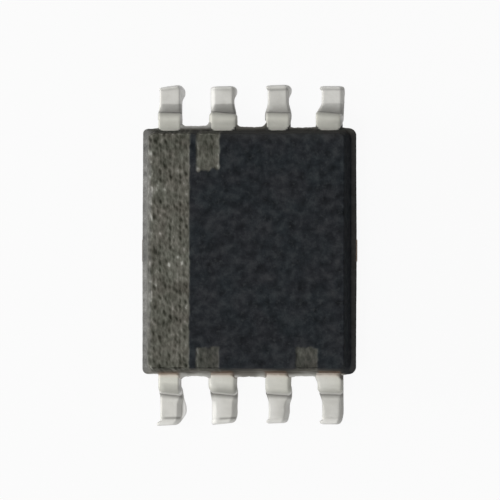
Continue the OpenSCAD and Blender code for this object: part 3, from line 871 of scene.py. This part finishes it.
def lead_form(pin, side, path):
    """A rounded rectangle carried along the path, whose edges, radii and thickness are functions of the
    length. On the crown the outer skin is pushed out from its arc towards a corner, r / (c^p + s^p)^(1/p) for
    the cosine c and sine s of the turn. The tip is cut at a slant, its lip falls away, and the last rings
    close over it on a quarter circle. Gives x from the middle line, q across the rows, the height, and what
    the finish needs."""
    s, from_tip, inset, arc = path.s, path.from_tip, path.inset, path.arc
    left_radius, right_radius, burr, burr_back, burr_half, lip = LEAD_TRIM[pin][:6]
    to_heel = smooth_step(path.crown + 0.4 * arc, path.heel + 0.4 * arc, s)
    foot_start = path.heel + 0.6 * arc
    to_foot = smooth_step(foot_start, path.heel_end + (0.095 if side > 0 else 0.070), s)
    to_right_foot = smooth_step(foot_start, path.heel_end + 0.105, s)
    inner_q = [FINGER_END + HEAD_LENGTH, FINGER_END + HEAD_LENGTH + 0.01, NECK_END - 0.01, NECK_END]

    def flank_edge(shoulder, heel, foot, reached, corner):
        inside = np.interp(path.q, inner_q, [HEAD_WIDTH / 2, NECK_WIDTH / 2, NECK_WIDTH / 2, shoulder])
        cut_in = np.clip(corner - from_tip, 0, corner)
        rounding = TIP_CORNER_SHARE * (corner - np.sqrt(corner ** 2 - cut_in ** 2))
        return inside + (heel - shoulder) * to_heel + (foot - heel) * reached - inset - rounding
    left_corner, right_corner = TIP_CORNERS[pin]
    wobble = 0.004 * wander(s, 0 * s + pin, 0.06, 51)
    outside = smooth_step(NECK_END, 1.14, path.q)
    at_root = outside * smooth_step(1.250, 1.165, path.q)
    left = flank_edge(*LEAD_EDGES[pin][:3], to_foot, left_corner) + wobble
    left = left + lip * smooth_step(0.049, 0.022, from_tip) + ROOT_FLARE.get(pin, 0.0) * at_root
    skew = 0.015 * (side < 0) * smooth_step(0.11, 0.0, from_tip)
    right = flank_edge(*LEAD_EDGES[pin][3:], to_right_foot, right_corner) - wobble - skew

    # Edge radii and the section at each station
    across, up, side_way, up_way = section()
    thick = SHEET / 2 - inset
    below = np.minimum(UNDER_RADIUS, 0.9 * thick)
    limit = np.minimum(2 * thick - below - 0.001, 0.9 * np.minimum(left, right))
    larger = outside * (0.5 + 0.5 * to_foot)
    top_left = np.minimum(limit, UNDER_RADIUS + larger * (left_radius - UNDER_RADIUS))
    top_right = np.minimum(limit, UNDER_RADIUS + larger * (right_radius - UNDER_RADIUS))
    upper = top_left * (1 - across) + top_right * across
    flank = np.abs(up_way) < 0.001
    radius = np.where(flank, below * (1 - up) + upper * up, np.where(up_way > 0, upper, below))
    core_left = -left + np.where(up > 0.5, top_left, below)
    core_right = right - np.where(up > 0.5, top_right, below)
    x = core_left * (1 - across) + core_right * across + radius * side_way
    x = np.where(flank, np.where(across < 0.5, -left, right), x)
    shelf = smooth_step(0.95, 0.30, up) if burr < 0.03 else smooth_step(0.52, 0.36, up)
    lump = burr * np.exp(-np.abs((from_tip - burr_back) / burr_half) ** 2.5)
    burr_shape = lump * shelf * np.clip(side_way, 0, 1) ** 2
    x = x + burr_shape
    v = (below - thick) * (1 - up) + (thick - upper) * up + radius * up_way

    # Crown, lip and dents, then the places in the frame
    top_share = np.clip((v + thick) / (2 * thick), 0, 1)
    turned = np.clip((s - path.crown) / arc, 0, 1) * math.pi / 2
    squarer = (np.cos(turned) ** CROWN_POWER + np.sin(turned) ** CROWN_POWER) ** (-1 / CROWN_POWER) - 1
    on_crown = (s >= path.crown) & (s <= path.crown_end)
    v = v + squarer * on_crown * (BEND_MIDDLE + SHEET / 2) * smooth_step(0.3, 0.9, top_share)
    crease = bell(from_tip - LIP_LENGTH[pin] - 0.004, 0.012)
    fall = LIP_DROP[side] * np.clip(1 - from_tip / LIP_LENGTH[pin], 0, 1)
    dents = 0.0018 * wander(x + 7 * pin, 0 * x + s, 0.045, 53) * outside
    v = v - top_share * (fall + 0.003 * crease + 0.0009) + np.clip(up_way, 0, 1) * dents
    slant = BEND_SLANT[pin] * smooth_step(path.crown - 0.06, path.crown + 0.5 * arc, s)
    slant = slant * smooth_step(path.heel_end + 0.10, path.heel_end, s)
    slant = slant + TIP_SLANT.get(pin, 0.0) * smooth_step(0.10, 0.0, from_tip)
    return SimpleNamespace(
        x=x, q=path.q + v * np.sin(path.lean) + slant * x, level=path.z + v * np.cos(path.lean),
        left=left, right=right, across=across, side_way=side_way, up_way=up_way, to_heel=to_heel,
        to_foot=to_foot, crease=crease, burr=burr_shape)


def lead_finish(pin, side, path, form, ragged):
    """Layers of the tin: warm tint, bare copper, resin, painted shade and painted light, each a function of
    the length along the path and of the place across the lead."""
    x, q, across, side_way, up_way = form.x, form.q, form.across, form.side_way, form.up_way
    s, from_tip, arc = path.s, path.from_tip, path.arc
    crown_shade, crease_shade = LEAD_TRIM[pin][6:]

    # Resin over the root and copper at the cut tip
    to_flank = np.where(x < 0, -x / form.left, x / form.right)
    creep_start, creep_end, creep_power = CREEP_CURVE[side]
    to_edge = np.clip((to_flank - creep_start) / (creep_end - creep_start), 0, 1)
    crept = ROOT_Y[side] + np.where(x < 0, *ROOT_CREEP[pin]) * to_edge ** creep_power
    resin = 1 - smooth_step(crept - ROOT_BLUR[side], crept + ROOT_BLUR[side], q + ragged)
    corner = ROOT_DARK.get(pin, 0.0) * (x > 0) * smooth_step(0.45, 0.80, to_flank)
    cut = smooth_step(0.003, 0.0, from_tip) * smooth_step(0.5, 0.2, (form.level - 0.01) / SHEET)

    # Painted shade on the crown, in the lip's crease and in the heel, painted shadow on the foot beside the
    # heel, and painted shade across the shoulder and over the foot
    earlier = CROWN_LEAD.get(pin, 0.0)
    crown_start = path.crown + (CROWN_START[side] - 0.3 * earlier) * arc
    crown_end = path.crown_end - earlier * arc
    crown = smooth_step(crown_start, crown_start + 0.6 * arc, s) * smooth_step(crown_end + 0.03, crown_end, s)
    crown_share = 1.0 if side > 0 else 0.25 + 0.75 * smooth_step(0.0, 0.35, across)
    crease_share = 1.0 if side > 0 else 0.2 + 0.8 * smooth_step(0.05, 0.30, across)
    heel_crease_shade, heel_shadow_strength = HEEL_MARKS[pin]
    heel = smooth_step(path.heel - 0.020, path.heel, s)
    heel = heel * smooth_step(path.heel_end + HEEL_SPREAD[side], path.heel_end - 0.01, s)
    crease_and_bend_shade = crown_shade * crown * crown_share + crease_shade * form.crease * crease_share + heel_crease_shade * heel
    growth = np.clip((q - HEEL_SHADOW_START) / (HEEL_SHADOW_END - HEEL_SHADOW_START), 0.05, 1)
    from_edge = (x + form.left) / (HEEL_SHADOW_MARGIN.get(pin, 0.015) * growth)
    # Painted shadow of the shoulder on the foot beside the heel
    painted_heel_shadow = smooth_step(HEEL_SHADOW_END + 0.007, HEEL_SHADOW_END - 0.007, q + ragged) * (s > path.heel)
    painted_heel_shadow = heel_shadow_strength * painted_heel_shadow * smooth_step(0.5, 1.0, from_edge)
    shade = SHOULDER_SHADE.get(pin, 0.0) * (1 + SHADE_TILT.get(pin, 0.0) * (2 * across - 1))
    shade = shade * bell(q - SHADE_PLACE[0], SHADE_PLACE[1]) * (s < path.heel)
    on_right = smooth_step(0.35, 0.95, across) * (up_way > 0.95)
    foot_shade_mark = FOOT_PAINTED_SHADE.get(pin, 0.0) + FOOT_SHADE.get(pin, 0.0) * on_right
    foot_shade_mark = foot_shade_mark * form.to_foot * smooth_step(LIP_LENGTH[pin], LIP_LENGTH[pin] + 0.02, from_tip)
    painted_shade = np.clip(strongest(crease_and_bend_shade, painted_heel_shadow, shade, foot_shade_mark), 0, 1) * (up_way > 0.2)

    # Painted light: highlights on the lip and the foot's edge, light on the shoulder, the foot, the burr and
    # the
    # +X flank
    lip_end = LIP_LENGTH[pin] if side < 0 else 0.020
    lip = LIP_HIGHLIGHT[side] * np.clip(1.1 * (1 - from_tip / lip_end), 0, 1)
    shoulder = SHOULDER_LIGHT.get(pin, 0.0) * smooth_step(path.crown_end, path.crown, s)
    edge = EDGE_HIGHLIGHT.get(pin, 0.30) * form.to_foot * smooth_step(0.15, 0.7, -side_way)
    painted_light = strongest(lip, shoulder * (1.7 - 1.5 * across), edge) * (up_way > -0.2)
    whole, near_side = FOOT_LIGHT.get(pin, (0.0, 0.0))
    foot = form.to_foot * (whole + near_side * smooth_step(0.50, 0.10, across)) * (up_way > 0.5)
    burr = np.clip(form.burr / 0.020, 0, 1)
    # Painted light on the +X flank, or painted shade where its value is below 0
    at_shoulder, at_heel = FLANK_PAINTED_LIGHT[pin]
    flank = (at_shoulder * (1 - form.to_heel) + at_heel * form.to_heel) * smooth_step(0.10, 0.5, side_way)
    warm_root = WARM_ROOT[side] * smooth_step(WARM_ROOT_END, ROOT_Y[side], q)
    return {"warm": strongest(WARM_SHOULDER * (s < path.crown_end), warm_root),
            "bare_copper": strongest(cut, resin * ROOT_BROWN.get(pin, 0.0)),
            "resin": resin * (1.0 if side > 0 else corner),
            "painted_shade": strongest(painted_shade, np.clip(-flank, 0, 1)),
            "painted_light": strongest(painted_light, foot, burr, np.clip(flank, 0, 1))}


def lead(pin):
    """One lead as a closed skin: the rings of its form with a pole at each end."""
    side = 1 if pin > 4 else -1
    place = 9 - pin if pin > 4 else pin
    path = lead_path(pin)
    form = lead_form(pin, side, path)
    head = -np.sign(place - 2.5) * HEAD_OFFSET if place in (1, 4) else 0.0
    shift = head * smooth_step(NECK_END - 0.15, FINGER_END + HEAD_LENGTH, path.q)
    world_x = (place - 2.5) * LEAD_PITCH + shift + form.x
    rings = np.stack([world_x, side * form.q, form.level], axis=-1)
    rows, cols = form.x.shape
    number = np.arange(rows * cols).reshape(rows, cols)
    after = np.roll(number, -1, axis=1)
    poles = np.full((2, cols), rows * cols) + [[0], [1]]
    caps = np.concatenate([np.stack([number[0], after[0], poles[0]], axis=-1),
                           np.stack([after[-1], number[-1], poles[1]], axis=-1)])
    quads = ring_quads(number)
    if side < 0:
        quads, caps = quads[:, ::-1], caps[:, ::-1]
    ragged = 0.008 * wander(world_x, 0 * world_x, 0.03, 57 + pin)
    layers = {}
    for name, values in lead_finish(pin, side, path, form, ragged).items():
        at_poles = [1.0, 0.8] if name == "bare_copper" else [0.0, 0.0]
        layers[name] = np.concatenate([values.ravel(), at_poles])
    points = np.concatenate([rings.reshape(-1, 3), rings[0].mean(axis=0)[None], rings[-1].mean(axis=0)[None]])
    piece = make_piece(f"formed_lead_{pin}", points, quads, caps, layers, TIN)
    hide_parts(f"lead_{pin}")


moulded_body()
for pin_number in LEAD_EDGES:
    lead(pin_number)

# Inner pieces keep their CAD shapes
INNER = {"die_pad": COPPER, "die_attach": EPOXY, "silicon_die": SILICON}
INNER.update({f"bond_wire_{pin_number}": GOLD for pin_number in LEAD_EDGES})
for node_name, finish in INNER.items():
    inner_mesh = frame["nodes"][node_name].data
    inner_mesh.materials.clear()
    inner_mesh.materials.append(finish)


# Stage: a white floor that keeps a faint shadow, a soft key from high at the front left, a wide panel above,
# panels low on the left and at the front, and a plain world
FLOOR_REACH = 0.4
FLOOR_PAINT = (0.58, 0.58, 0.58, 1.0)
FLOOR_WHITE = (0.985, 0.985, 0.985, 1.0)
FLOOR_WHITE_SHARE = 0.95
WHITE = (1.0, 1.0, 1.0, 1.0)


def blank_tree(made):
    """Turns on the nodes of a material or a world and gives its emptied tree."""
    made.use_nodes = True
    made.node_tree.nodes.clear()
    return made.node_tree


def white_floor():
    """Flat square floor. Camera, mirror and glass rays see mostly an even white, and the rest of it takes the
    shadow. From below it is clear, so that the underside can be looked at."""
    made = bpy.data.materials.new("white_floor")
    tree = blank_tree(made)
    rays = add(tree, "ShaderNodeLightPath").outputs
    seen = reckon(tree, "MAXIMUM", rays["Is Camera Ray"], rays["Is Glossy Ray"])
    seen = reckon(tree, "MAXIMUM", seen, rays["Is Transmission Ray"])
    paint = put(add(tree, "ShaderNodeBsdfDiffuse"), Color=FLOOR_PAINT)
    glow = put(add(tree, "ShaderNodeEmission"), Color=FLOOR_WHITE, Strength=1.0)
    top = mix_shaders(tree, reckon(tree, "MULTIPLY", seen, FLOOR_WHITE_SHARE), paint, glow)
    from_below = add(tree, "ShaderNodeNewGeometry").outputs["Backfacing"]
    sided = mix_shaders(tree, from_below, top, add(tree, "ShaderNodeBsdfTransparent"))
    put(add(tree, "ShaderNodeOutputMaterial"), Surface=sided.outputs[0])
    mesh = bpy.data.meshes.new("floor")
    corners = [(FLOOR_REACH * x, FLOOR_REACH * y, 0) for x, y in ((-1, -1), (1, -1), (1, 1), (-1, 1))]
    mesh.from_pydata(corners, [], [(0, 1, 2, 3)])
    mesh.materials.append(made)
    floor = new_object("floor", mesh)


def lamp(name, kind, towards, distance, energy, **settings):
    """Lamp in the direction `towards` from the middle of the part, aimed at it."""
    data = bpy.data.lights.new(name, kind)
    data.energy = energy
    for key, value in settings.items():
        setattr(data, key, value)
    made = new_object(name, data)
    direction = Vector(towards).normalized()
    made.location = Vector((0, 0, FRAME_TOP * MM)) + direction * distance
    made.rotation_euler = direction.to_track_quat("Z", "Y").to_euler()


def plain_world(level, background):
    """Even light from all round; the camera sees the background level instead."""
    world = bpy.data.worlds.new("studio")
    tree = blank_tree(world)
    light = put(add(tree, "ShaderNodeBackground"), Color=WHITE, Strength=level)
    seen = put(add(tree, "ShaderNodeBackground"), Color=WHITE, Strength=background)
    both = mix_shaders(tree, add(tree, "ShaderNodeLightPath").outputs["Is Camera Ray"], light, seen)
    put(add(tree, "ShaderNodeOutputWorld"), Surface=both.outputs[0])
    bpy.context.scene.world = world


# Camera: distance, point that it looks at, width of its view, lean from upright to +X and to -Y, and turn
CAMERA_DISTANCE = 40.0
CAMERA_TARGET = (0.0026, 0.0076, 0.38)
VIEW_WIDTH = 4.6646
CAMERA_LEAN = (math.radians(4.64), math.radians(2.26))
CAMERA_TURN = math.radians(-0.10)
SENSOR_WIDTH = 36.0


def photo_camera():
    """Long lens almost straight above, leaning a little to +X and -Y as the photograph does."""
    towards = Vector((math.tan(CAMERA_LEAN[0]), -math.tan(CAMERA_LEAN[1]), 1.0)).normalized()
    up = Vector((math.sin(CAMERA_TURN), math.cos(CAMERA_TURN), 0.0))
    right = up.cross(towards).normalized()
    upright = towards.cross(right)
    data = bpy.data.cameras.new("camera")
    data.sensor_width = SENSOR_WIDTH
    data.lens = SENSOR_WIDTH * CAMERA_DISTANCE / VIEW_WIDTH
    data.clip_start = 1e-4
    data.clip_end = 10.0
    made = new_object("camera", data)
    axes = Matrix((right, upright, towards)).transposed().to_4x4()
    made.matrix_world = Matrix.Translation((Vector(CAMERA_TARGET) + towards * CAMERA_DISTANCE) * MM) @ axes
    bpy.context.scene.camera = made


white_floor()
lamp("key", "SUN", (-0.13, -0.31, 1.0), 0.1, 0.93, angle=math.radians(16))
lamp("top_panel", "SUN", (-0.20, -0.04, 1.0), 0.1, 0.70, angle=math.radians(30))
lamp("left_panel", "AREA", (-1.0, 0.06, 0.30), 0.03, 0.0068, shape="RECTANGLE", size=0.010, size_y=0.016)
lamp("front_panel", "AREA", (-0.05, -1.0, 0.25), 0.03, 0.0022, shape="SQUARE", size=0.024)
plain_world(0.22, 0.965)
photo_camera()
bpy.context.scene.view_settings.view_transform = "Standard"
